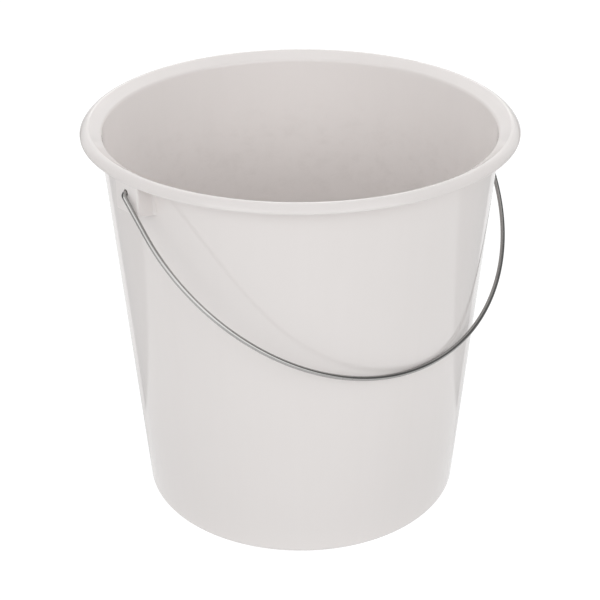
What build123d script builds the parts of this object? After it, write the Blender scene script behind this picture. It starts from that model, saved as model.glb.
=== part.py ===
"""Plastic bucket with a wire bail.

Millimetres, +Z up, origin at the middle of the base on the floor.
The bail's hinge line runs along X, and the bail hangs towards -Y.
"""
import os
from math import atan2, cos, degrees, hypot, radians, sin, sqrt

from build123d import *

os.makedirs("parts", exist_ok=True)

# ---------------------------------------------------------------- wall and base
base_r = 107.44          # outer wall line carried down to the floor
top_wall_r = 127.97      # outer wall radius at the height of the rim's edge
rim_edge_z = 259.03      # lower edge of the rim
wall_t = 1.6             # moulded wall, square to the surface
base_corner_r = 3.7      # rounding between wall and base, outside
base_t = 2.0             # base plate
foot_step = 1.5          # the middle of the base stands this far off the floor
foot_in_r = 96.5         # inner radius of the ring that stands on the floor
foot_slope = 2.0         # width of the slope from the ring up to the middle
gate_r, gate_h = 4.0, 0.6  # moulding gate mark in the middle of the underside

# ---------------------------------------------------------------- rolled rim
rim_r = 140.0            # outermost radius
crest_r, crest_z = 134.69, 264.715  # meeting point of flare and roll, before rounding
roll_mid = (138.56, 262.0)          # a point half way round the roll
roll_end_z = 259.9       # the roll turns vertical here
lip_z = 259.3            # meeting point of inside wall and flare, before rounding
lip_round = 3.0          # rounding between inside wall and flare
crest_round = 2.2

# ---------------------------------------------------------------- lugs
lug_r = 139.7            # outer face of the plates
lug_half_w = 10.8        # half width at the outer plate
lug_wall_half_w = 9.2    # half width at the wall
lug_plate_t = 1.9
lug_side_t = 1.7
lug_low_z = 240.5        # lower edge of the outer plate
lug_slope = 0.25         # the lower edge drops this much per mm towards the wall
lug_corner_r = 2.5

# ---------------------------------------------------------------- bail
wire_d = 3.0
pivot_z = 253.5          # hinge line
leg_x = 142.0            # wire centre of the straight legs
leg_len = 28.0           # straight run from the hinge line to the bow
bend_r = 3.0             # bends at the ends, at the wire's centre
tail_x = 132.0           # hooked end inside the lug
tail_len = 5.6           # reach of the hooked end from the hinge line
hole_r = 1.85            # hole in the lug plate
hole_mouth_r = 2.35
rest_gap = 0.3           # air between bail and wall at rest

# ---------------------------------------------------------------- worked-out geometry
slope = (top_wall_r - base_r) / rim_edge_z
lug_root_z = lug_low_z - lug_slope * 13.4    # lower edge of the lug sides at the wall
draft = atan2(top_wall_r - base_r, rim_edge_z)
wall_dr = wall_t / cos(draft)


def wall_out(z):
    return base_r + slope * z


def wall_in(z):
    return wall_out(z) - wall_dr


def circle_through(a, b, c):
    """Centre and radius of the circle through three points."""
    d = 2 * (a[0] * (b[1] - c[1]) + b[0] * (c[1] - a[1]) + c[0] * (a[1] - b[1]))
    sa, sb, sc = (p[0] ** 2 + p[1] ** 2 for p in (a, b, c))
    x = (sa * (b[1] - c[1]) + sb * (c[1] - a[1]) + sc * (a[1] - b[1])) / d
    y = (sa * (c[0] - b[0]) + sb * (a[0] - c[0]) + sc * (b[0] - a[0])) / d
    return (x, y), hypot(a[0] - x, a[1] - y)


def leaves_circle(p, angle, c, r):
    """Point where a line from p, inside a circle, runs out of it."""
    ux, uz = cos(angle), sin(angle)
    wx, wz = p[0] - c[0], p[1] - c[1]
    b = ux * wx + uz * wz
    k = sqrt(b ** 2 - (wx ** 2 + wz ** 2 - r ** 2)) - b
    return (p[0] + k * ux, p[1] + k * uz)


def arc_mid(c, r, p, q):
    """Point half way along the short arc from p to q."""
    mx, my = (p[0] + q[0]) / 2 - c[0], (p[1] + q[1]) / 2 - c[1]
    k = r / hypot(mx, my)
    return (c[0] + mx * k, c[1] + my * k)


def at_z(c, r, z, side):
    """Point of a circle at height z, on its inner (-1) or outer (+1) side."""
    return (c[0] + side * sqrt(r ** 2 - (z - c[1]) ** 2), z)


# roll: the outside of the rim, from the crest down to its vertical edge
crest = (crest_r, crest_z)
roll_end = (rim_r, roll_end_z)
roll_c, roll_r = circle_through(crest, roll_mid, roll_end)

# flare: a cone from the inside wall's lip up to the crest
lip = (wall_in(lip_z), lip_z)
flare_angle = atan2(crest[1] - lip[1], crest[0] - lip[0])


def flare_line(depth):
    """Ends of the line that lies at a depth under the flare: at the wall's line of that depth, and at the roll's."""
    p = (lip[0] + depth * sin(flare_angle), lip[1] - depth * cos(flare_angle))
    wall_r = wall_in(p[1]) + depth / cos(draft)
    k = (wall_r - p[0]) / (cos(flare_angle) - slope * sin(flare_angle))
    start = (p[0] + k * cos(flare_angle), p[1] + k * sin(flare_angle))
    return start, leaves_circle(p, flare_angle, roll_c, roll_r - depth)


lip_under, under_crest = flare_line(wall_t)
roll_under_end = at_z(roll_c, roll_r - wall_t, roll_end_z, 1)

# middle of the rim's thickness, where the lug sides end inside the rim
mid_lip, mid_crest = flare_line(wall_t / 2)
mid_roll_r = roll_r - wall_t / 2
mid_roll_end = at_z(roll_c, mid_roll_r, roll_end_z, 1)

# bail: the middle of the bow hangs against the wall with rest_gap of air
bow_reach = leg_len + leg_x
low, high = 10.0, 80.0
for _ in range(60):
    rest_deg = (low + high) / 2
    y = bow_reach * cos(radians(rest_deg))
    z = pivot_z - bow_reach * sin(radians(rest_deg))
    gap = (y - wall_out(z)) * cos(draft) - wire_d / 2
    low, high = (rest_deg, high) if gap > rest_gap else (low, rest_deg)
print("draft %.3f deg, flare %.2f deg, roll radius %.2f" % (degrees(draft), degrees(flare_angle), roll_r))
print("bail rests %.3f deg below level, swing %.3f deg" % (rest_deg, 180 + 2 * rest_deg))


# ---------------------------------------------------------------- one lug, at +X
plate_in_r = lug_r - lug_plate_t
taper = (lug_half_w - lug_wall_half_w) / (lug_r - wall_out(lug_root_z))


def lug_plan(x, inset=0.0):
    """Half width of the lug at a distance x from the axis."""
    return lug_half_w - taper * (lug_r - x) - inset


with BuildPart() as lug:
    # plan: a block that narrows towards the wall
    with BuildSketch(Plane.XY.offset(lug_root_z - 8)):
        with BuildLine():
            Polyline((lug_r + 2, lug_plan(lug_r + 2)), (lug_r + 2, -lug_plan(lug_r + 2)),
                     (wall_in(0), -lug_plan(wall_in(0))), (wall_in(0), lug_plan(wall_in(0))), close=True)
        make_face()
    extrude(amount=40)
    # from the middle of the wall to the plate's face, and up into the rim
    with BuildSketch(Plane.XZ):
        with BuildLine():
            Polyline(mid_roll_end, (lug_r, roll_end_z - 0.3), (lug_r, lug_root_z - 5),
                     (wall_out(lug_root_z - 5) - wall_dr / 2, lug_root_z - 5), mid_lip, mid_crest)
            ThreePointArc(mid_crest, arc_mid(roll_c, mid_roll_r, mid_crest, mid_roll_end), mid_roll_end)
        make_face()
    revolve(axis=Axis.Z, revolution_arc=360, mode=Mode.INTERSECT)
    # lower edge with rounded corners, sloping down from the plate to the wall
    with BuildSketch(Plane.YZ.offset(lug_r + 1)):
        with BuildLine():
            w, top = lug_half_w + 0.4, crest_z + 20
            low = lug_low_z + lug_slope * 1
            FilletPolyline((w, top), (w, low), (-w, low), (-w, top), radius=lug_corner_r)
            Line((-w, top), (w, top))
        make_face()
    extrude(amount=30, dir=(-1, 0, -lug_slope), mode=Mode.INTERSECT)
    # hollow, open below, leaving the plate and two sides
    with BuildSketch(Plane.XY.offset(lug_root_z - 10)):
        with BuildLine():
            front_y = lug_plan(plate_in_r, lug_side_t)
            front_x = sqrt(plate_in_r ** 2 - front_y ** 2)
            back_x = wall_in(0) - 2
            back_y = lug_plan(back_x, lug_side_t)
            ThreePointArc((front_x, front_y), (plate_in_r, 0), (front_x, -front_y))
            Polyline((front_x, -front_y), (back_x, -back_y), (back_x, back_y), (front_x, front_y))
        make_face()
    extrude(amount=50, mode=Mode.SUBTRACT)
    # hole for the bail's end, eased at the mouth
    with Locations(Plane(origin=(lug_r + 0.5, 0, pivot_z), x_dir=(0, 1, 0), z_dir=(1, 0, 0))):
        CounterSinkHole(radius=hole_r, counter_sink_radius=hole_mouth_r + 0.5, depth=lug_plate_t + 2,
                        counter_sink_angle=90)

# ---------------------------------------------------------------- the moulded bucket
floor_z = foot_step + base_t
inner_foot_r = foot_in_r - 0.6
edge_in_r = roll_under_end[0]      # inside of the rim's edge

with BuildPart() as bucket_body:
    with BuildSketch(Plane.YZ) as section:
        with BuildLine():
            # under the base: gate mark, recessed middle, sloped step, standing ring; then the wall
            Polyline((0, foot_step - gate_h), (gate_r, foot_step - gate_h), (gate_r, foot_step),
                     (foot_in_r - foot_slope, foot_step), (foot_in_r, 0), (base_r, 0), lip_under, under_crest)
            # underside of the roll
            ThreePointArc(under_crest, arc_mid(roll_c, roll_r - wall_t, under_crest, roll_under_end), roll_under_end)
            # lower edge of the rim
            Polyline(roll_under_end, (edge_in_r, rim_edge_z), (rim_r, rim_edge_z), roll_end)
            # roll
            ThreePointArc(roll_end, arc_mid(roll_c, roll_r, roll_end, crest), crest)
            # flare, inside wall and floor
            Polyline(crest, lip, (wall_in(base_t), base_t), (inner_foot_r, base_t),
                     (inner_foot_r - foot_slope, floor_z), (0, floor_z), (0, foot_step - gate_h))
        make_face()
        for corner, radius in ((crest, crest_round), (lip, lip_round), (lip_under, lip_round - wall_t), ((base_r, 0), base_corner_r),
                               ((wall_in(base_t), base_t), base_corner_r - wall_t)):
            fillet(section.vertices().sort_by_distance(corner)[0], radius)
    revolve(axis=Axis.Z)
    add(lug.part)
    add(lug.part, rotation=(0, 0, 180))

bucket_body.part.label = "bucket_body"
export_step(bucket_body.part, "parts/bucket_body.step")

# ---------------------------------------------------------------- the bail
t = radians(rest_deg)
bail_plane = Plane(origin=(0, 0, pivot_z), x_dir=(1, 0, 0), z_dir=(0, sin(t), -cos(t)))

with BuildPart() as wire_bail:
    with BuildLine(bail_plane) as path:
        FilletPolyline((-tail_x, tail_len), (-tail_x, 0), (-leg_x, 0), (-leg_x, leg_len), radius=bend_r)
        ThreePointArc((-leg_x, leg_len), (0, bow_reach), (leg_x, leg_len))
        FilletPolyline((leg_x, leg_len), (leg_x, 0), (tail_x, 0), (tail_x, tail_len), radius=bend_r)
    with BuildSketch(Plane(origin=path.line @ 0, z_dir=path.line % 0)):
        Circle(wire_d / 2)
    sweep(path=path.line)

wire_bail.part.label = "wire_bail"
export_step(wire_bail.part, "parts/wire_bail.step")
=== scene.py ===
"""Looks of the plastic bucket with a wire bail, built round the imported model.

Millimetres while shapes are worked out, metres in the meshes. +Z up, the hinge line of the bail along X.
"""
from math import acos, atan2, ceil, cos, hypot, pi, radians, sin, sqrt, tan

import bmesh
import bpy
import numpy as np
from mathutils import Matrix, Vector
from mathutils.bvhtree import BVHTree


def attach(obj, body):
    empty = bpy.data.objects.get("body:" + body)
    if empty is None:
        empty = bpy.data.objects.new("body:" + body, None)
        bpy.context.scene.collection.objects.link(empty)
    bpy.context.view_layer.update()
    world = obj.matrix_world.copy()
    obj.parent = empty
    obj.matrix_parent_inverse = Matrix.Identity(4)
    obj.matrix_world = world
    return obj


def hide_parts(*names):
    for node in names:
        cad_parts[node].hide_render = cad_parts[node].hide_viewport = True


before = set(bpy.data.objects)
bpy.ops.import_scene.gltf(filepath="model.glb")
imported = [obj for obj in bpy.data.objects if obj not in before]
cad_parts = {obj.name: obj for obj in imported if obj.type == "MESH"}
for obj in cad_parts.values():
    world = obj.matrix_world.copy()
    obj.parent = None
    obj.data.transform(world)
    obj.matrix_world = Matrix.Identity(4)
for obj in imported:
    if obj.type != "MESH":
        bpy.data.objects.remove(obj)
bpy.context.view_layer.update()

scene = bpy.context.scene
MM = 0.001

# ------------------------------------------------------------------ dimensions, as in the solid model
base_r, top_wall_r, rim_edge_z = 107.44, 127.97, 259.03
wall_t, base_corner_r, base_t = 1.6, 3.7, 2.0
foot_step, foot_in_r, foot_slope = 1.5, 96.5, 2.0
gate_r, gate_h = 4.0, 0.6
rim_r = 140.0
crest, crest_round = (134.69, 264.715), 2.2
roll_mid, roll_end_z, lip_z, lip_round = (138.56, 262.0), 259.9, 259.3, 3.0
lug_r, lug_half_w, lug_wall_half_w = 139.7, 10.8, 9.2
lug_plate_t, lug_side_t, lug_low_z, lug_slope, lug_corner_r = 1.9, 1.7, 240.5, 0.25, 2.5
wire_d, pivot_z, leg_x, leg_len = 3.0, 253.5, 142.0, 28.0
bend_r, tail_x, tail_len = 3.0, 132.0, 5.6
hole_r, hole_mouth_r, rest_deg = 1.85, 2.35, 45.206

slope = (top_wall_r - base_r) / rim_edge_z
draft = atan2(top_wall_r - base_r, rim_edge_z)
wall_dr = wall_t / cos(draft)


def wall_out(z):
    return base_r + slope * z


def wall_in(z):
    return wall_out(z) - wall_dr


def circle_through(a, b, c):
    d = 2 * (a[0] * (b[1] - c[1]) + b[0] * (c[1] - a[1]) + c[0] * (a[1] - b[1]))
    sa, sb, sc = (p[0] ** 2 + p[1] ** 2 for p in (a, b, c))
    x = (sa * (b[1] - c[1]) + sb * (c[1] - a[1]) + sc * (a[1] - b[1])) / d
    y = (sa * (c[0] - b[0]) + sb * (a[0] - c[0]) + sc * (b[0] - a[0])) / d
    return (x, y), hypot(a[0] - x, a[1] - y)


def leaves_circle(p, angle, c, r):
    """Point where a line from p, inside a circle, runs out of it."""
    ux, uz = cos(angle), sin(angle)
    wx, wz = p[0] - c[0], p[1] - c[1]
    b = ux * wx + uz * wz
    k = sqrt(b ** 2 - (wx ** 2 + wz ** 2 - r ** 2)) - b
    return (p[0] + k * ux, p[1] + k * uz)


def toward(c, p, r):
    """Point at distance r from c, in the direction of p."""
    k = r / hypot(p[0] - c[0], p[1] - c[1])
    return (c[0] + (p[0] - c[0]) * k, c[1] + (p[1] - c[1]) * k)


roll_end = (rim_r, roll_end_z)
roll_c, roll_r = circle_through(crest, roll_mid, roll_end)
lip = (wall_in(lip_z), lip_z)
flare_angle = atan2(crest[1] - lip[1], crest[0] - lip[0])


def flare_line(depth):
    """Ends of the line that lies at a depth under the flare: at the wall's line of that depth, and at the roll's."""
    p = (lip[0] + depth * sin(flare_angle), lip[1] - depth * cos(flare_angle))
    wall_r = wall_in(p[1]) + depth / cos(draft)
    k = (wall_r - p[0]) / (cos(flare_angle) - slope * sin(flare_angle))
    start = (p[0] + k * cos(flare_angle), p[1] + k * sin(flare_angle))
    return start, leaves_circle(p, flare_angle, roll_c, roll_r - depth)


# ------------------------------------------------------------------ the section of the moulding
class Section:
    """A closed line of points (r, z) with outward normals; material lies to the left of its run."""

    def __init__(self):
        self.points, self.normals = [], []

    def put(self, p, n):
        if self.points and hypot(p[0] - self.points[-1][0], p[1] - self.points[-1][1]) < 1e-6:
            return
        self.points.append(p)
        self.normals.append(n)

    def line(self, p, q, step=1e9):
        d = hypot(q[0] - p[0], q[1] - p[1])
        n = ((q[1] - p[1]) / d, -(q[0] - p[0]) / d)
        count = max(1, int(ceil(d / step)))
        for i in range(count + 1):
            t = i / count
            self.put((p[0] + (q[0] - p[0]) * t, p[1] + (q[1] - p[1]) * t), n)

    def arc(self, c, p, q, step=5.0):
        """Short arc round c from p to q."""
        a0 = atan2(p[1] - c[1], p[0] - c[0])
        a1 = atan2(q[1] - c[1], q[0] - c[0])
        turn = (a1 - a0 + pi) % (2 * pi) - pi
        r = hypot(p[0] - c[0], p[1] - c[1])
        count = max(2, int(ceil(abs(turn) / radians(step))))
        side = 1.0 if turn > 0 else -1.0
        for i in range(count + 1):
            a = a0 + turn * i / count
            self.put((c[0] + r * cos(a), c[1] + r * sin(a)), (side * cos(a), side * sin(a)))

    def run(self, corners, steps=None):
        """Straight runs through the corners (r, z, rounding), rounded where the rounding is over 0."""
        at = (corners[0][0], corners[0][1])
        for i in range(1, len(corners)):
            step = steps[i - 1] if steps else 1e9
            p = (corners[i][0], corners[i][1])
            rounding = corners[i][2] if len(corners[i]) > 2 else 0
            if not rounding or i == len(corners) - 1:
                self.line(at, p, step)
                at = p
                continue
            q = (corners[i + 1][0], corners[i + 1][1])
            d1, d2 = hypot(p[0] - at[0], p[1] - at[1]), hypot(q[0] - p[0], q[1] - p[1])
            u = ((p[0] - at[0]) / d1, (p[1] - at[1]) / d1)
            v = ((q[0] - p[0]) / d2, (q[1] - p[1]) / d2)
            turn = acos(max(-1, min(1, u[0] * v[0] + u[1] * v[1])))
            back = rounding * tan(turn / 2)
            a = (p[0] - u[0] * back, p[1] - u[1] * back)
            b = (p[0] + v[0] * back, p[1] + v[1] * back)
            left = 1.0 if u[0] * v[1] - u[1] * v[0] > 0 else -1.0
            c = (a[0] - left * u[1] * rounding, a[1] + left * u[0] * rounding)
            self.line(at, a, step)
            self.arc(c, a, b, 6.0)
            at = b
        return at


edge_round = 0.4
under_round = 0.8
floor_z = foot_step + base_t
inner_foot_r = foot_in_r - 0.6

lip_under = flare_line(wall_t)[0]
uc = flare_line(wall_t + under_round)[1]
u1 = (uc[0] - under_round * sin(flare_angle), uc[1] + under_round * cos(flare_angle))
u2 = toward(roll_c, uc, roll_r - wall_t)
under_end = (roll_c[0] + sqrt((roll_r - wall_t) ** 2 - (roll_end_z - roll_c[1]) ** 2), roll_end_z)
cc = flare_line(crest_round)[1]
c1 = (cc[0] - crest_round * sin(flare_angle), cc[1] + crest_round * cos(flare_angle))
c2 = toward(roll_c, cc, roll_r)

section = Section()
section.run([(0, foot_step - gate_h), (gate_r, foot_step - gate_h, 0.25), (gate_r, foot_step, 0.2),
             (foot_in_r - foot_slope, foot_step, 1.2), (foot_in_r, 0, 0.8), (base_r, 0, base_corner_r),
             (lip_under[0], lip_under[1], lip_round - wall_t), u1], [1.0, 1e9, 7.0, 1e9, 1.5, 6.0, 1.5])
section.arc(uc, u1, u2, 10.0)
section.arc(roll_c, u2, under_end, 6.0)
section.run([under_end, (under_end[0], rim_edge_z, edge_round), (rim_r, rim_edge_z, edge_round), roll_end])
section.arc(roll_c, roll_end, c2, 4.0)
section.arc(cc, c2, c1, 5.0)
section.run([c1, (lip[0], lip[1], lip_round), (wall_in(base_t), base_t, base_corner_r - wall_t), (inner_foot_r, base_t, 1.2),
             (inner_foot_r - foot_slope, floor_z, 1.2), (0, floor_z)], [1.5, 6.0, 1.5, 1e9, 7.0])


# ------------------------------------------------------------------ meshes
def mesh_object(name, verts, faces, index=0, slots=()):
    mesh = bpy.data.meshes.new(name)
    mesh.from_pydata([tuple(v) for v in verts], [], faces)
    mesh.validate()
    for m in slots:
        mesh.materials.append(m)
    mesh.polygons.foreach_set("material_index", [index] * len(mesh.polygons))
    mesh.polygons.foreach_set("use_smooth", [True] * len(mesh.polygons))
    obj = bpy.data.objects.new(name, mesh)
    scene.collection.objects.link(obj)
    return obj


marks = [bpy.data.materials.new(n) for n in ("from_wall", "from_lug", "from_hole")]


def lathe(section, count):
    """The section turned round Z. Its first and last point lie on the axis."""
    pts, nrm = section.points, section.normals
    verts, normals, faces = [], [], []
    verts.append((0, 0, pts[0][1] * MM)); normals.append((0, 0, nrm[0][1]))
    ring = pts[1:-1]
    angles = [2 * pi * (k + 0.5) / count for k in range(count)]
    for (r, z), (nr, nzz) in zip(ring, nrm[1:-1]):
        for a in angles:
            verts.append((r * cos(a) * MM, r * sin(a) * MM, z * MM))
            normals.append((nr * cos(a), nr * sin(a), nzz))
    verts.append((0, 0, pts[-1][1] * MM)); normals.append((0, 0, nrm[-1][1]))
    last = len(verts) - 1
    for k in range(count):
        j = (k + 1) % count
        faces.append((0, 1 + j, 1 + k))
        for i in range(len(ring) - 1):
            a, b = 1 + i * count, 1 + (i + 1) * count
            faces.append((a + k, a + j, b + j, b + k))
        a = 1 + (len(ring) - 1) * count
        faces.append((a + k, a + j, last))
    return verts, normals, faces


shell_verts, shell_normals, shell_faces = lathe(section, 272)
shell = mesh_object("bucket_shell", shell_verts, shell_faces, 0, marks)

# lug: a bent wall with the plan of a U, open below, whose ends and top lie inside the moulding
plate_in_r = lug_r - lug_plate_t
lug_root_z = lug_low_z - lug_slope * 13.4
taper = (lug_half_w - lug_wall_half_w) / (lug_r - wall_out(lug_root_z))
mid_roll_r = roll_r - wall_t / 2
mid_lip, mid_crest = flare_line(wall_t / 2)


def lug_plan(x, inset=0.0):
    return lug_half_w - taper * (lug_r - x) - inset


def lug_low(x, y):
    """Lower edge of the lug: sloping down to the wall, with rounded corners."""
    centre = lug_half_w + 0.4 - lug_corner_r
    over = min(max(abs(y) - centre, 0.0), lug_corner_r)
    return lug_low_z - lug_slope * (lug_r - x) + lug_corner_r - sqrt(lug_corner_r ** 2 - over ** 2)


def rim_middle(r):
    """Height of the middle of the rim's thickness at radius r."""
    if r <= mid_lip[0]:
        return mid_lip[1] - 1.0
    if r <= mid_crest[0]:
        return mid_lip[1] + (r - mid_lip[0]) * tan(flare_angle)
    d = min(abs(r - roll_c[0]), mid_roll_r)
    return max(roll_end_z - 0.3, roll_c[1] + sqrt(mid_roll_r ** 2 - d * d))


def lug_outline(z, inset_side, radius, corner, flare, sink):
    """Plan of one face of the lug at height z, from the wall on the -Y side round to the +Y side.
    The ends flare out where they meet the wall and sink into it."""
    y_c = lug_plan(radius, inset_side)
    x_c = sqrt(radius ** 2 - y_c ** 2)
    half = []
    # along the side, from inside the wall outwards
    y_w = lug_plan(wall_out(z), inset_side)
    x_w = sqrt(wall_out(z) ** 2 - y_w ** 2)
    sign = 1.0 if flare > 0 else -1.0
    f = abs(flare)
    for t in (-sink, 0.0, 0.12 * f, 0.3 * f, 0.55 * f, 0.8 * f, f):
        x = x_w + t
        u = min(1.0, max(0.0, (f - max(t, 0.0)) / f))
        widen = f * (1 - sqrt(max(0.0, 1 - min(u, 0.97) ** 2)))
        if t < 0:
            widen += 0.6 * sink
        half.append((x, lug_plan(x, inset_side) + sign * widen))
    x_end = x_c - corner * 1.02
    for i in range(1, 9):
        x = half[6][0] + (x_end - half[6][0]) * i / 8
        half.append((x, lug_plan(x, inset_side)))
    # round the upright corner on to the plate
    p0 = half[-1]
    p1 = (x_c, y_c)
    a_c = atan2(y_c, x_c)
    a2 = a_c - corner * 1.02 / radius
    p2 = (radius * cos(a2), radius * sin(a2))
    for i in range(1, 8):
        t = i / 7
        # weighted curve: close to a circular arc between the two tangents
        w0, w1, w2 = (1 - t) ** 2, 2 * t * (1 - t) * 0.72, t * t
        s = w0 + w1 + w2
        half.append(((p0[0] * w0 + p1[0] * w1 + p2[0] * w2) / s, (p0[1] * w0 + p1[1] * w1 + p2[1] * w2) / s))
    for i in range(1, 13):
        a = a2 * (1 - i / 12)
        half.append((radius * cos(a), radius * sin(a)))
    return [(x, -y) for x, y in half] + [(x, y) for x, y in reversed(half[:-1])]


def build_lug():
    rows, rb = 30, 0.55
    verts, faces = [], []
    plan_o = lug_outline(248.0, 0.0, lug_r, 1.3, 1.9, 0.7)
    count = len(plan_o)
    low_o = [lug_low(x, y) for x, y in plan_o]
    profile = []          # not filled, and not used
    grid = []
    heights = [i / rows for i in range(rows + 1)]
    outer, inner = [], []
    for t in heights:
        ro, ri = [], []
        for k in range(count):
            zo_low = low_o[k] + rb
            # the outline follows the wall's slope, so its height is settled by two passes
            z = zo_low + (255 - zo_low) * t
            o = lug_outline_cache(z, True)[k]
            i_ = lug_outline_cache(z, False)[k]
            z_o = zo_low + (rim_middle(hypot(*o)) - zo_low) * t
            z_i = zo_low + (rim_middle(hypot(*i_)) - zo_low) * t
            ro.append((o[0], o[1], z_o))
            ri.append((i_[0], i_[1], z_i))
        outer.append(ro)
        inner.append(ri)
    # bottom edge: two roundings and a flat between them
    bottom = []
    for s in range(1, 6):
        a = pi / 2 * s / 6
        bottom.append(("o", rb * (1 - cos(a)), -rb * sin(a)))
    bottom.append(("o", rb, -rb))
    bottom.append(("i", rb, -rb))
    for s in range(5, 0, -1):
        a = pi / 2 * s / 6
        bottom.append(("i", rb * (1 - cos(a)), -rb * sin(a)))
    loops = [outer[i] for i in range(rows, -1, -1)]
    for side, off, dz in bottom:
        row = []
        for k in range(count):
            o, i_ = outer[0][k], inner[0][k]
            d = hypot(i_[0] - o[0], i_[1] - o[1])
            u = ((i_[0] - o[0]) / d, (i_[1] - o[1]) / d)
            base = o if side == "o" else i_
            sgn = 1 if side == "o" else -1
            row.append((base[0] + sgn * u[0] * off, base[1] + sgn * u[1] * off, o[2] + dz))
        loops.append(row)
    loops += [inner[i] for i in range(0, rows + 1)]
    for row in loops:
        verts += row
    n = len(loops)
    for j in range(n):
        a, b = j * count, ((j + 1) % n) * count
        for k in range(count - 1):
            faces.append((a + k, b + k, b + k + 1, a + k + 1))
    faces.append([j * count for j in range(n - 1, -1, -1)])
    faces.append([j * count + count - 1 for j in range(n)])
    return verts, faces


_outlines = {}


def lug_outline_cache(z, outer):
    key = (round(z, 3), outer)
    if key not in _outlines:
        if outer:
            _outlines[key] = lug_outline(z, 0.0, lug_r, 1.3, 1.9, 0.7)
        else:
            _outlines[key] = lug_outline(z, lug_side_t, plate_in_r, 0.9, -0.9, 0.7)
    return _outlines[key]


def hole_cutter():
    """Tool for the lug's hole: a straight hole, rounded open at both mouths."""
    prof = [(plate_in_r - 1.5, 3.4), (plate_in_r - 0.25, 2.75)]
    for i in range(0, 5):
        a = pi / 2 * i / 4
        prof.append((plate_in_r - 0.05 + 0.4 * sin(a), hole_r + 0.4 * (1 - sin(a)) ** 1.2))
    for i in range(0, 7):
        a = pi / 2 * i / 6
        prof.append((lug_r - 0.5 + 0.5 * sin(a), hole_r + (hole_mouth_r - hole_r) * (1 - cos(a))))
    prof += [(lug_r + 0.35, hole_mouth_r + 0.7), (lug_r + 2.0, hole_mouth_r + 2.6)]
    seg = 48
    verts = [(x, r * cos(2 * pi * k / seg), pivot_z + r * sin(2 * pi * k / seg)) for x, r in prof for k in range(seg)]
    faces = []
    for i in range(len(prof) - 1):
        for k in range(seg):
            j = (k + 1) % seg
            faces.append((i * seg + k, i * seg + j, (i + 1) * seg + j, (i + 1) * seg + k))
    faces.append([k for k in range(seg - 1, -1, -1)])
    faces.append([(len(prof) - 1) * seg + k for k in range(seg)])
    return verts, faces


def outward(obj):
    bm = bmesh.new()
    bm.from_mesh(obj.data)
    bmesh.ops.remove_doubles(bm, verts=bm.verts, dist=1e-7)
    bmesh.ops.recalc_face_normals(bm, faces=bm.faces)
    bm.to_mesh(obj.data)
    bm.free()


def joined(obj, tool, operation):
    """The mesh of obj united with, or cut by, the tool."""
    mod = obj.modifiers.new("join", "BOOLEAN")
    mod.operation, mod.solver, mod.object = operation, "EXACT", tool
    mod.material_mode = "INDEX"
    bpy.context.view_layer.update()
    dg = bpy.context.evaluated_depsgraph_get()
    mesh = bpy.data.meshes.new_from_object(obj.evaluated_get(dg))
    obj.modifiers.remove(mod)
    old = obj.data
    obj.data = mesh
    bpy.data.meshes.remove(old)


def smooth_source(mesh):
    """Look-up of interpolated vertex normals on a mesh as it is now."""
    verts = [v.co.copy() for v in mesh.vertices]
    tris = []
    mesh.calc_loop_triangles()
    for t in mesh.loop_triangles:
        tris.append(tuple(t.vertices))
    normals = [Vector(n.vector) for n in mesh.vertex_normals]
    return BVHTree.FromPolygons(verts, tris), verts, tris, normals


def look_up(source, p, facing):
    """Interpolated normal at p."""
    tree, verts, tris, normals = source
    loc, fn, index, dist = tree.find_nearest(p)
    a, b, c = (verts[i] for i in tris[index])
    na, nb, nc = (normals[i] for i in tris[index])
    v0, v1, v2 = b - a, c - a, loc - a
    d00, d01, d11, d20, d21 = v0.dot(v0), v0.dot(v1), v1.dot(v1), v2.dot(v0), v2.dot(v1)
    den = d00 * d11 - d01 * d01
    if abs(den) < 1e-20:
        return facing
    v = (d11 * d20 - d01 * d21) / den
    w = (d00 * d21 - d01 * d20) / den
    n = (na * (1 - v - w) + nb * v + nc * w).normalized()
    return n if n.dot(facing) > 0.2 else facing


section_r = np.array([p[0] for p in section.points])
section_z = np.array([p[1] for p in section.points])
section_n = np.array(section.normals)


def section_normal(p, facing):
    """Normal of the turned section at p, from the nearest run of the section."""
    r, z = hypot(p.x, p.y) / MM, p.z / MM
    fr = (facing.x * p.x + facing.y * p.y) / max(hypot(p.x, p.y), 1e-9)
    ax, az = section_r[:-1], section_z[:-1]
    dx, dz = section_r[1:] - ax, section_z[1:] - az
    t = np.clip(((r - ax) * dx + (z - az) * dz) / (dx * dx + dz * dz), 0, 1)
    d2 = (ax + dx * t - r) ** 2 + (az + dz * t - z) ** 2
    run = np.hypot(dx, dz)
    away = (dz * fr - dx * facing.z) / run < 0.3      # runs that face another way
    i = int(np.argmin(d2 + np.where(away, 1e3, 0)))
    n = section_n[i] * (1 - t[i]) + section_n[i + 1] * t[i]
    n = n / np.hypot(*n)
    q = max(hypot(p.x, p.y), 1e-9)
    if q < 1e-6:
        return Vector((0, 0, n[1]))
    return Vector((n[0] * p.x / q, n[0] * p.y / q, n[1]))


lug_verts, lug_faces = build_lug()
cut_verts, cut_faces = hole_cutter()
lug_sources, hole_sources = [], []
for side in (1, -1):
    lug = mesh_object("lug_tool", [(side * x * MM, side * y * MM, z * MM) for x, y, z in lug_verts],
                      [list(f) for f in lug_faces], 1, marks)
    outward(lug)
    lug_sources.append(smooth_source(lug.data))
    cut = mesh_object("hole_tool", [(side * x * MM, side * y * MM, z * MM) for x, y, z in cut_verts],
                      [list(f) for f in cut_faces], 2, marks)
    outward(cut)
    hole_sources.append(smooth_source(cut.data))
    joined(lug, cut, "DIFFERENCE")
    joined(shell, lug, "UNION")
    for o in (lug, cut):
        m = o.data
        bpy.data.objects.remove(o)
        bpy.data.meshes.remove(m)

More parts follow.
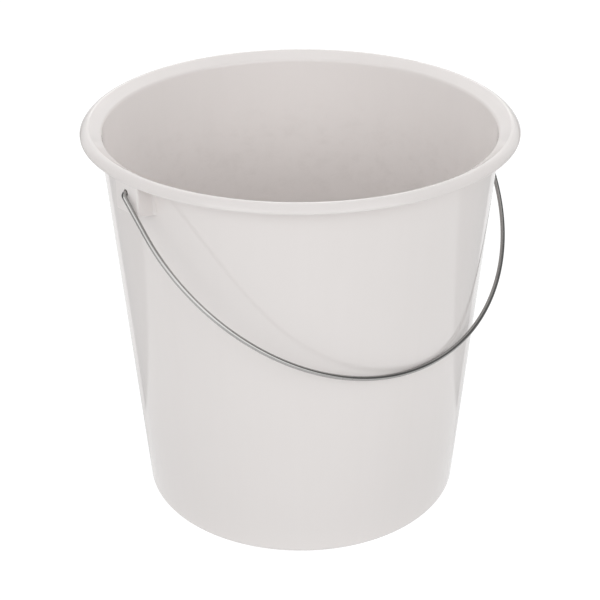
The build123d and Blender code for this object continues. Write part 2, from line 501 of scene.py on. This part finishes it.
# the joins leave a few points doubled where edges meet
bm = bmesh.new()
bm.from_mesh(shell.data)
bmesh.ops.remove_doubles(bm, verts=[v for v in bm.verts if abs(v.co.x) > 0.11 and v.co.z > 0.2], dist=3e-5)
bmesh.ops.dissolve_degenerate(bm, edges=bm.edges[:], dist=1e-6)
bm.to_mesh(shell.data)
bm.free()

mesh = shell.data
mesh.polygons.foreach_set("use_smooth", [True] * len(mesh.polygons))
loop_normals = [None] * len(mesh.loops)
for poly in mesh.polygons:
    facing = poly.normal.copy()
    right = poly.center.x > 0
    for li in poly.loop_indices:
        p = mesh.vertices[mesh.loops[li].vertex_index].co
        if poly.material_index == 0:
            n = section_normal(p, facing)
            if n.dot(facing) < 0.5:
                n = facing
        elif poly.material_index == 1:
            n = look_up(lug_sources[0 if right else 1], p, facing)
        else:
            n = -look_up(hole_sources[0 if right else 1], p, -facing)
        loop_normals[li] = n
mesh.normals_split_custom_set(loop_normals)
mesh.polygons.foreach_set("material_index", [0] * len(mesh.polygons))
mesh.materials.clear()
for m in marks:
    bpy.data.materials.remove(m)

# ------------------------------------------------------------------ the bail
def bail_line():
    """Points (x, s) of the wire's middle in the bail's plane, from one hooked end to the other."""
    pts = []

    def straight(p, q, step):
        n = max(1, int(ceil(hypot(q[0] - p[0], q[1] - p[1]) / step)))
        for i in range(n):
            t = i / n
            pts.append((p[0] + (q[0] - p[0]) * t, p[1] + (q[1] - p[1]) * t))

    def bend(c, a0, a1, r, n):
        for i in range(n):
            a = a0 + (a1 - a0) * i / n
            pts.append((c[0] + r * cos(a), c[1] + r * sin(a)))

    b = bend_r
    straight((-tail_x, tail_len), (-tail_x, b), 0.8)
    bend((-tail_x - b, b), 0, -pi / 2, b, 14)
    straight((-tail_x - b, 0), (-leg_x + b, 0), 0.8)
    bend((-leg_x + b, b), -pi / 2, -pi, b, 14)
    straight((-leg_x, b), (-leg_x, leg_len), 1.5)
    n = 220
    for i in range(n + 1):
        a = pi - pi * i / n
        pts.append((leg_x * cos(a), leg_len + leg_x * sin(a)))
    left = pts[:-(n + 1)]
    return pts + [(-x, s) for x, s in reversed(left)]


def build_bail():
    line = bail_line()
    t = radians(rest_deg)
    out = Vector((0, -cos(t), -sin(t)))          # from the hinge line towards the bow
    across = Vector((1, 0, 0))
    flat = across.cross(out)                      # square to the bail's plane
    middle = [across * x + out * s + Vector((0, 0, pivot_z)) for x, s in line]
    length = [0.0]
    for a, b in zip(middle, middle[1:]):
        length.append(length[-1] + (b - a).length)
    seg = 32
    r = wire_d / 2
    verts, faces, uv = [], [], []

    def ring(p, along, radius, at):
        side = flat.cross(along).normalized()
        for k in range(seg):
            a = 2 * pi * k / seg
            verts.append((p + side * (radius * cos(a)) + flat * (radius * sin(a))) * MM)
            uv.append((k / seg, at * MM))

    n = len(middle)
    tangents = []
    for i in range(n):
        a, b = middle[max(i - 1, 0)], middle[min(i + 1, n - 1)]
        tangents.append((b - a).normalized())
    chamfer = 0.35
    ring(middle[0], tangents[0], r - chamfer, 0)
    ring(middle[0] + tangents[0] * chamfer * 0.3, tangents[0], r - chamfer * 0.3, 0.1)
    ring(middle[0] + tangents[0] * chamfer, tangents[0], r, chamfer)
    for i in range(1, n - 1):
        ring(middle[i], tangents[i], r, length[i])
    end = middle[-1]
    ring(end - tangents[-1] * chamfer, tangents[-1], r, length[-1] - chamfer)
    ring(end - tangents[-1] * chamfer * 0.3, tangents[-1], r - chamfer * 0.3, length[-1] - 0.1)
    ring(end, tangents[-1], r - chamfer, length[-1])
    rings = len(verts) // seg
    face_uv = []
    for i in range(rings - 1):
        for k in range(seg):
            j = (k + 1) % seg
            f = (i * seg + k, i * seg + j, (i + 1) * seg + j, (i + 1) * seg + k)
            faces.append(f)
            u0, u1 = k / seg, (k + 1) / seg
            face_uv.append([(u0, uv[f[0]][1]), (u1, uv[f[1]][1]), (u1, uv[f[2]][1]), (u0, uv[f[3]][1])])
    for base, flip in ((0, True), ((rings - 1) * seg, False)):
        loop = list(range(base, base + seg))
        faces.append(loop[::-1] if flip else loop)
        face_uv.append([uv[i] for i in faces[-1]])
    return verts, faces, face_uv


bail_verts, bail_faces, bail_uv = build_bail()
bail = mesh_object("bail_wire", bail_verts, bail_faces)
layer = bail.data.uv_layers.new(name="along")
for poly, corners in zip(bail.data.polygons, bail_uv):
    for li, c in zip(poly.loop_indices, corners):
        layer.data[li].uv = c
bm = bmesh.new()
bm.from_mesh(bail.data)
bmesh.ops.recalc_face_normals(bm, faces=bm.faces)
bm.to_mesh(bail.data)
bm.free()
for poly in bail.data.polygons:
    poly.use_smooth = len(poly.vertices) == 4


# ------------------------------------------------------------------ materials
class Nodes:
    """Short hand for a material's node tree."""

    def __init__(self, name):
        self.material = bpy.data.materials.new(name)
        self.material.use_nodes = True
        self.tree = self.material.node_tree
        self.tree.nodes.clear()
        self.out = self.add("ShaderNodeOutputMaterial")

    def add(self, kind, inputs=None, **settings):
        node = self.tree.nodes.new(kind)
        for k, v in settings.items():
            setattr(node, k, v)
        for k, v in (inputs or {}).items():
            if isinstance(v, bpy.types.NodeSocket):
                self.tree.links.new(v, node.inputs[k])
            else:
                node.inputs[k].default_value = v
        return node

    def math(self, operation, a, b=None, c=None, clamp=False):
        node = self.add("ShaderNodeMath", operation=operation, use_clamp=clamp)
        for i, v in enumerate((a, b, c)):
            if v is None:
                continue
            if isinstance(v, bpy.types.NodeSocket):
                self.tree.links.new(v, node.inputs[i])
            else:
                node.inputs[i].default_value = v
        return node.outputs[0]

    def span(self, value, a, b, low, high, smooth=False):
        node = self.add("ShaderNodeMapRange", {"Value": value, "From Min": a, "From Max": b, "To Min": low, "To Max": high},
                        interpolation_type="SMOOTHSTEP" if smooth else "LINEAR")
        return node.outputs["Result"]

    def mix(self, factor, a, b):
        node = self.add("ShaderNodeMix", data_type="RGBA")
        for i, v in ((0, factor), (6, a), (7, b)):
            if isinstance(v, bpy.types.NodeSocket):
                self.tree.links.new(v, node.inputs[i])
            else:
                node.inputs[i].default_value = v
        return node.outputs[2]


def plastic_material():
    n = Nodes("moulded_plastic")
    coord = n.add("ShaderNodeTexCoord").outputs["Object"]
    xyz = n.add("ShaderNodeSeparateXYZ", {"Vector": coord})
    x, y, z = xyz.outputs
    r = n.math("SQRT", n.math("ADD", n.math("MULTIPLY", x, x), n.math("MULTIPLY", y, y)))
    turn = n.math("ARCTAN2", y, x)

    # slow clouding of the pigment, and faint flow lines running up from the gate
    cloud = n.add("ShaderNodeTexNoise", {"Vector": coord, "Scale": 14.0, "Detail": 4.0, "Roughness": 0.55}).outputs["Fac"]
    flow_v = n.add("ShaderNodeCombineXYZ", {"X": n.math("MULTIPLY", turn, 9.0), "Y": n.math("MULTIPLY", z, 3.0),
                                            "Z": n.math("MULTIPLY", r, 3.0)}).outputs[0]
    flow = n.add("ShaderNodeTexNoise", {"Vector": flow_v, "Scale": 1.6, "Detail": 5.0, "Roughness": 0.6, "Distortion": 0.4}).outputs["Fac"]
    tone = n.math("ADD", n.math("MULTIPLY", cloud, 0.6), n.math("MULTIPLY", flow, 0.4))
    tone = n.span(tone, 0.35, 0.65, 0.0, 1.0, smooth=True)
    colour = n.mix(tone, (0.846, 0.809, 0.793, 1), (0.855, 0.818, 0.803, 1))

    # rubbed standing ring and gate mark: a little duller
    low = n.span(z, 0.0004, 0.0032, 1.0, 0.0, smooth=True)
    grit = n.add("ShaderNodeTexNoise", {"Vector": coord, "Scale": 420.0, "Detail": 3.0, "Roughness": 0.7}).outputs["Fac"]
    rub = n.math("MULTIPLY", low, n.span(grit, 0.42, 0.66, 0.0, 1.0, smooth=True))
    colour = n.mix(n.math("MULTIPLY", rub, 0.35), colour, (0.70, 0.67, 0.64, 1))

    # inside: the wall's lower part is a little dulled and mottled by what it has carried
    depth = n.math("SUBTRACT", n.math("MULTIPLY_ADD", z, slope, base_r * MM), r)
    inner = n.math("MULTIPLY", n.span(depth, 0.0010, 0.0014, 0.0, 1.0), n.span(z, 0.245, 0.195, 0.0, 1.0, smooth=True))
    scuff_v = n.add("ShaderNodeCombineXYZ", {"X": n.math("MULTIPLY", x, 0.75), "Y": n.math("MULTIPLY", y, 0.75), "Z": z}).outputs[0]
    scuff = n.add("ShaderNodeTexNoise", {"Vector": scuff_v, "Scale": 110.0, "Detail": 6.0, "Roughness": 0.66, "Distortion": 0.3}).outputs["Fac"]
    scuff = n.math("MULTIPLY", inner, n.span(scuff, 0.44, 0.70, 0.0, 1.0, smooth=True))
    colour = n.mix(n.math("MULTIPLY", scuff, 0.20), colour, (0.70, 0.66, 0.64, 1))

    # gloss: slow changes, and hair lines left by the mould running up the wall
    slow = n.add("ShaderNodeTexNoise", {"Vector": coord, "Scale": 30.0, "Detail": 3.0}).outputs["Fac"]
    hair_v = n.add("ShaderNodeCombineXYZ", {"X": n.math("MULTIPLY", turn, 260.0), "Y": n.math("MULTIPLY", z, 9.0),
                                            "Z": n.math("MULTIPLY", r, 60.0)}).outputs[0]
    hair = n.add("ShaderNodeTexNoise", {"Vector": hair_v, "Scale": 1.0, "Detail": 2.0, "Roughness": 0.5}).outputs["Fac"]
    hair = n.span(hair, 0.60, 0.76, 0.0, 1.0, smooth=True)
    rough = n.math("ADD", n.span(slow, 0.3, 0.7, 0.025, 0.04), n.math("MULTIPLY", hair, 0.01))
    rough = n.math("ADD", rough, n.math("ADD", n.math("MULTIPLY", rub, 0.3), n.math("MULTIPLY", scuff, 0.12)), clamp=True)

    # skin of the moulding: fine orange peel
    peel = n.add("ShaderNodeTexNoise", {"Vector": coord, "Scale": 620.0, "Detail": 2.0, "Roughness": 0.5}).outputs["Fac"]
    height = n.math("ADD", n.math("MULTIPLY", peel, 0.5), n.math("MULTIPLY", hair, 0.04))
    height = n.math("ADD", height, n.math("MULTIPLY", n.math("MULTIPLY", low, grit), 1.5))
    bump = n.add("ShaderNodeBump", {"Height": height, "Strength": 0.06, "Distance": 0.00012})

    shader = n.add("ShaderNodeBsdfPrincipled", {"Base Color": colour, "Roughness": rough, "Normal": bump.outputs[0],
                                                "IOR": 1.49})
    n.tree.links.new(shader.outputs[0], n.out.inputs[0])
    return n.material


def wire_material():
    n = Nodes("drawn_wire")
    uv = n.add("ShaderNodeUVMap", uv_map="along").outputs[0]
    part = n.add("ShaderNodeSeparateXYZ", {"Vector": uv})
    u, v = part.outputs[0], part.outputs[1]
    # coordinates that close round the wire: drawing lines run along it
    a = n.math("MULTIPLY", u, 2 * pi)
    ring_v = n.add("ShaderNodeCombineXYZ", {"X": n.math("COSINE", a), "Y": n.math("SINE", a), "Z": n.math("MULTIPLY", v, 14.0)}).outputs[0]
    lines = n.add("ShaderNodeTexNoise", {"Vector": ring_v, "Scale": 9.0, "Detail": 4.0, "Roughness": 0.65}).outputs["Fac"]
    coord = n.add("ShaderNodeTexCoord").outputs["Object"]
    spots = n.add("ShaderNodeTexNoise", {"Vector": coord, "Scale": 340.0, "Detail": 3.0, "Roughness": 0.6}).outputs["Fac"]
    slow = n.add("ShaderNodeTexNoise", {"Vector": coord, "Scale": 22.0, "Detail": 2.0}).outputs["Fac"]
    tone = n.math("ADD", n.math("MULTIPLY", lines, 0.55), n.math("MULTIPLY", slow, 0.45))
    colour = n.mix(n.span(tone, 0.35, 0.65, 0.0, 1.0), (0.335, 0.330, 0.323, 1), (0.435, 0.430, 0.422, 1))
    colour = n.mix(n.span(spots, 0.62, 0.74, 0.0, 0.45), colour, (0.225, 0.220, 0.214, 1))
    rough = n.math("ADD", n.span(lines, 0.3, 0.7, 0.07, 0.14), n.span(spots, 0.55, 0.75, 0.0, 0.08))
    height = n.math("ADD", lines, n.math("MULTIPLY", spots, 0.4))
    bump = n.add("ShaderNodeBump", {"Height": height, "Strength": 0.12, "Distance": 0.00008})
    shader = n.add("ShaderNodeBsdfPrincipled", {"Base Color": colour, "Roughness": rough, "Metallic": 1.0,
                                                "Normal": bump.outputs[0]})
    n.tree.links.new(shader.outputs[0], n.out.inputs[0])
    return n.material


shell.data.materials.append(plastic_material())
bail.data.materials.append(wire_material())

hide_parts("bucket_body")
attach(shell, "bucket")
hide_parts("wire_bail")
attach(bail, "bail")

# ------------------------------------------------------------------ camera at the photo's angle
focal, distance, elevation, roll = 1448.62, 987.53, radians(27.988), radians(-0.2313)
azimuth, aim_x, aim_z = radians(-43.0), -0.48, 131.36
right = Vector((cos(azimuth), sin(azimuth), 0))
back = Vector((sin(azimuth) * cos(elevation), -cos(azimuth) * cos(elevation), sin(elevation)))
up = back.cross(right)
axis_x = right * cos(roll) + up * sin(roll)
axis_y = -right * sin(roll) + up * cos(roll)
place = (right * aim_x + Vector((0, 0, aim_z)) + back * distance) * MM
cam_data = bpy.data.cameras.new("camera")
cam_data.sensor_width = 36.0
cam_data.lens = focal / 600 * 36.0
cam_data.clip_start, cam_data.clip_end = 0.05, 50
cam = bpy.data.objects.new("camera", cam_data)
scene.collection.objects.link(cam)
cam.matrix_world = Matrix(((axis_x.x, axis_y.x, back.x, place.x), (axis_x.y, axis_y.y, back.y, place.y),
                           (axis_x.z, axis_y.z, back.z, place.z), (0, 0, 0, 1)))
scene.camera = cam

# ------------------------------------------------------------------ floor and light
def glow(name, build):
    """Stage material that only gives off light; build(nodes) returns its strength."""
    n = Nodes(name)
    shader = n.add("ShaderNodeEmission", {"Color": (1, 1, 1, 1), "Strength": build(n)})
    n.tree.links.new(shader.outputs[0], n.out.inputs[0])
    return n.material


def mirrored_only(obj):
    """Seen in glossy surfaces, and nowhere else."""
    obj.visible_camera = obj.visible_diffuse = obj.visible_shadow = obj.visible_transmission = False


# white sheet: it glows a little, so that the bucket leaves almost no shadow on it
floor = mesh_object("floor", [(-6, -6, -0.0003), (6, -6, -0.0003), (6, 6, -0.0003), (-6, 6, -0.0003)], [(0, 1, 2, 3)])
n = Nodes("floor")
shader = n.add("ShaderNodeBsdfPrincipled", {"Base Color": (0.25, 0.25, 0.25, 1), "Roughness": 0.9,
                                            "Emission Color": (1, 1, 1, 1), "Emission Strength": 0.86})
shader.inputs["Specular IOR Level"].default_value = 0.0
n.tree.links.new(shader.outputs[0], n.out.inputs[0])
floor.data.materials.append(n.material)
floor.visible_diffuse = floor.visible_shadow = False      # light from below comes from the sky's lower half

# what glossy surfaces mirror: a glowing sheet in place of the floor, with the bucket's two soft shadows running back
# from it, left and right, painted into its glow, and painted shade close to the base and behind the shadows
away = Vector((-sin(azimuth), cos(azimuth), 0))


def floor_tone(n):
    p = n.add("ShaderNodeTexCoord").outputs["Object"]
    x = n.math("ABSOLUTE", n.add("ShaderNodeVectorMath", {0: p, 1: tuple(right)}, operation="DOT_PRODUCT").outputs["Value"])
    y = n.add("ShaderNodeVectorMath", {0: p, 1: tuple(away)}, operation="DOT_PRODUCT").outputs["Value"]
    reach = n.math("MAXIMUM", n.math("SUBTRACT", x, 0.105), 0.0)
    soft = n.math("MULTIPLY_ADD", reach, 0.035, 0.004)                   # edges soften away from the base
    front = n.math("DIVIDE", n.math("SUBTRACT", y, 0.047), soft)
    u = n.math("MAXIMUM", n.math("SUBTRACT", x, 0.115), 0.0)
    rear = n.math("DIVIDE", n.math("SUBTRACT", n.math("MULTIPLY", u, n.math("MULTIPLY_ADD", u, 1.4, 1.15)), y), soft)
    shade = n.math("MULTIPLY", n.span(front, -1.0, 1.0, 0.0, 1.0, True), n.span(rear, -1.0, 1.0, 0.0, 1.0, True))
    r = n.add("ShaderNodeVectorMath", {0: p}, operation="LENGTH").outputs["Value"]
    # painted light and shade: the glow dims from 0.5 m out, in a painted dim ring round the bucket's base, and in a
    # darker zone behind the painted shadows
    lit = n.math("ADD", n.span(r, 0.5, 1.3, 1.03, 0.66, True), n.span(r, 0.12, 0.28, -0.14, 0.0, True))
    behind = n.math("MULTIPLY", n.span(rear, -1.0, 1.0, 1.0, 0.0, True), n.span(r, 0.2, 0.45, -0.10, -0.05, True))
    return n.math("ADD", n.math("MULTIPLY_ADD", shade, -0.45, lit), behind)


sheet = mesh_object("mirrored_floor", [(-5, -5, 0.0006), (5, -5, 0.0006), (5, 5, 0.0006), (-5, 5, 0.0006)], [(0, 1, 2, 3)])
sheet.data.materials.append(glow("mirrored_floor", floor_tone))
mirrored_only(sheet)


def room_tone(n):
    """A wide soft window behind the camera, a high one on the far side over a pale wall, dim sides."""
    d = n.add("ShaderNodeVectorMath", {0: n.add("ShaderNodeTexCoord").outputs["Object"]}, operation="NORMALIZE").outputs[0]
    front = n.add("ShaderNodeVectorMath", {0: d, 1: tuple(-away)}, operation="DOT_PRODUCT").outputs["Value"]
    z = n.add("ShaderNodeSeparateXYZ", {"Vector": d}).outputs[2]
    level = n.math("SQRT", n.math("MAXIMUM", n.math("SUBTRACT", 1.0, n.math("MULTIPLY", z, z)), 0.0025))
    toward = n.math("DIVIDE", front, level)                               # cosine of the turn from the camera's side
    near = n.math("MULTIPLY", n.span(toward, 0.40, 0.75, 0.0, 1.0, True), n.span(z, 0.84, 0.66, 0.0, 1.6, True))
    far = n.math("MULTIPLY", n.span(toward, -0.50, -0.80, 0.0, 1.0, True),
                 n.math("ADD", n.span(z, 0.10, 0.24, 0.40, 0.60, True),
                        n.math("MULTIPLY", n.span(z, 0.36, 0.46, 0.0, 0.20, True), n.span(z, 0.85, 0.65, 0.0, 1.0, True))))
    high = n.math("MULTIPLY", n.span(toward, -0.988, -0.998, 0.0, 1.2, True),
                  n.math("MULTIPLY", n.span(z, 0.385, 0.43, 0.0, 1.0, True), n.span(z, 0.90, 0.80, 0.0, 1.0, True)))
    top = n.math("MULTIPLY", n.span(z, 0.55, 0.90, 0.0, 0.8, True), n.span(toward, 0.0, 0.6, 0.2, 1.0, True))
    return n.math("ADD", n.math("ADD", near, 0.20), n.math("ADD", n.math("ADD", far, high), top))


def dome_mesh(name, radius):
    """Dome round the set, from just below the horizon up, seen from inside."""
    rings, seg = 24, 48
    verts, faces = [], []
    for i in range(rings):
        el = radians(-2 + 91.5 * i / (rings - 1))
        for k in range(seg):
            a = 2 * pi * k / seg
            verts.append((radius * cos(el) * cos(a), radius * cos(el) * sin(a), radius * sin(el)))
    for i in range(rings - 1):
        for k in range(seg):
            j = (k + 1) % seg
            faces.append((i * seg + k, (i + 1) * seg + k, (i + 1) * seg + j, i * seg + j))
    faces.append([(rings - 1) * seg + k for k in range(seg)][::-1])
    return mesh_object(name, verts, faces)


dome = dome_mesh("room", 5.0)
dome.data.materials.append(glow("room", room_tone))
mirrored_only(dome)

# painted shade: a disc under the floor, seen only by diffuse light, glows less than the sky's lower half, as if the
# floor were a little dimmer close to the bucket, so the wall's foot gets less light from below
foot = mesh_object("foot_shade", [(0.22 * cos(2 * pi * k / 64), 0.22 * sin(2 * pi * k / 64), -0.0008) for k in range(64)],
                   [tuple(range(64))])
foot.data.materials.append(glow("foot_shade", lambda n: 0.66))
foot.visible_camera = foot.visible_glossy = foot.visible_transmission = False

# white backdrop behind the floor, only looked at
backdrop = dome_mesh("backdrop", 5.6)
backdrop.data.materials.append(glow("backdrop", lambda n: 1.0))
backdrop.visible_diffuse = backdrop.visible_glossy = backdrop.visible_shadow = backdrop.visible_transmission = False

# soft light from all round: its strength by height (sine), on the camera's side, at the sides and on the far side
sky_heights = (-1.0, -0.6, -0.25, -0.05, 0.12, 0.3, 0.5, 0.75, 1.0)
sky_scale = 6.0
sky = {
    "near": (0.80, 0.76, 0.73, 0.31, 0.39, 2.25, 1.79, 0.67, 0.39),
    "side": (0.80, 0.74, 0.58, 0.56, 0.80, 0.87, 0.52, 0.23, 0.39),
    "far": (0.80, 0.57, 0.48, 0.71, 1.00, 1.20, 1.60, 2.15, 0.39),
}
world = bpy.data.worlds.new("studio")
world.use_nodes = True
world.cycles_visibility.glossy = False
w = Nodes.__new__(Nodes)
w.tree = world.node_tree
d = w.add("ShaderNodeTexCoord").outputs["Generated"]
z = w.add("ShaderNodeSeparateXYZ", {"Vector": d}).outputs[2]
front = w.add("ShaderNodeVectorMath", {0: d, 1: tuple(-away)}, operation="DOT_PRODUCT").outputs["Value"]
level = w.math("SQRT", w.math("MAXIMUM", w.math("SUBTRACT", 1.0, w.math("MULTIPLY", z, z)), 0.0025))
toward = w.math("DIVIDE", front, level)
near = w.span(toward, 0.2, 0.8, 0.0, 1.0, True)
far = w.span(toward, -0.2, -0.8, 0.0, 1.0, True)
share = {"near": near, "far": far, "side": w.math("SUBTRACT", w.math("SUBTRACT", 1.0, near), far)}
height = w.span(z, -1.0, 1.0, 0.0, 1.0)
strength = None
for part_name, values in sky.items():
    ramp = w.add("ShaderNodeValToRGB", {"Fac": height}, name="sky_" + part_name)
    ramp.color_ramp.interpolation = "LINEAR"
    el = ramp.color_ramp.elements
    while len(el) < len(sky_heights):
        el.new(0.5)
    for e, h, v in zip(el, sky_heights, values):
        e.position = (h + 1) / 2
        e.color = (v / sky_scale, v / sky_scale, v / sky_scale, 1)
    piece = w.math("MULTIPLY", ramp.outputs[0], share[part_name])
    strength = piece if strength is None else w.math("ADD", strength, piece)
back_light = w.tree.nodes["Background"]
back_light.inputs[0].default_value = (1, 1, 1, 1)
w.tree.links.new(w.math("MULTIPLY", strength, sky_scale), back_light.inputs[1])
scene.world = world

scene.view_settings.view_transform = "Standard"
scene.view_settings.look = "None"
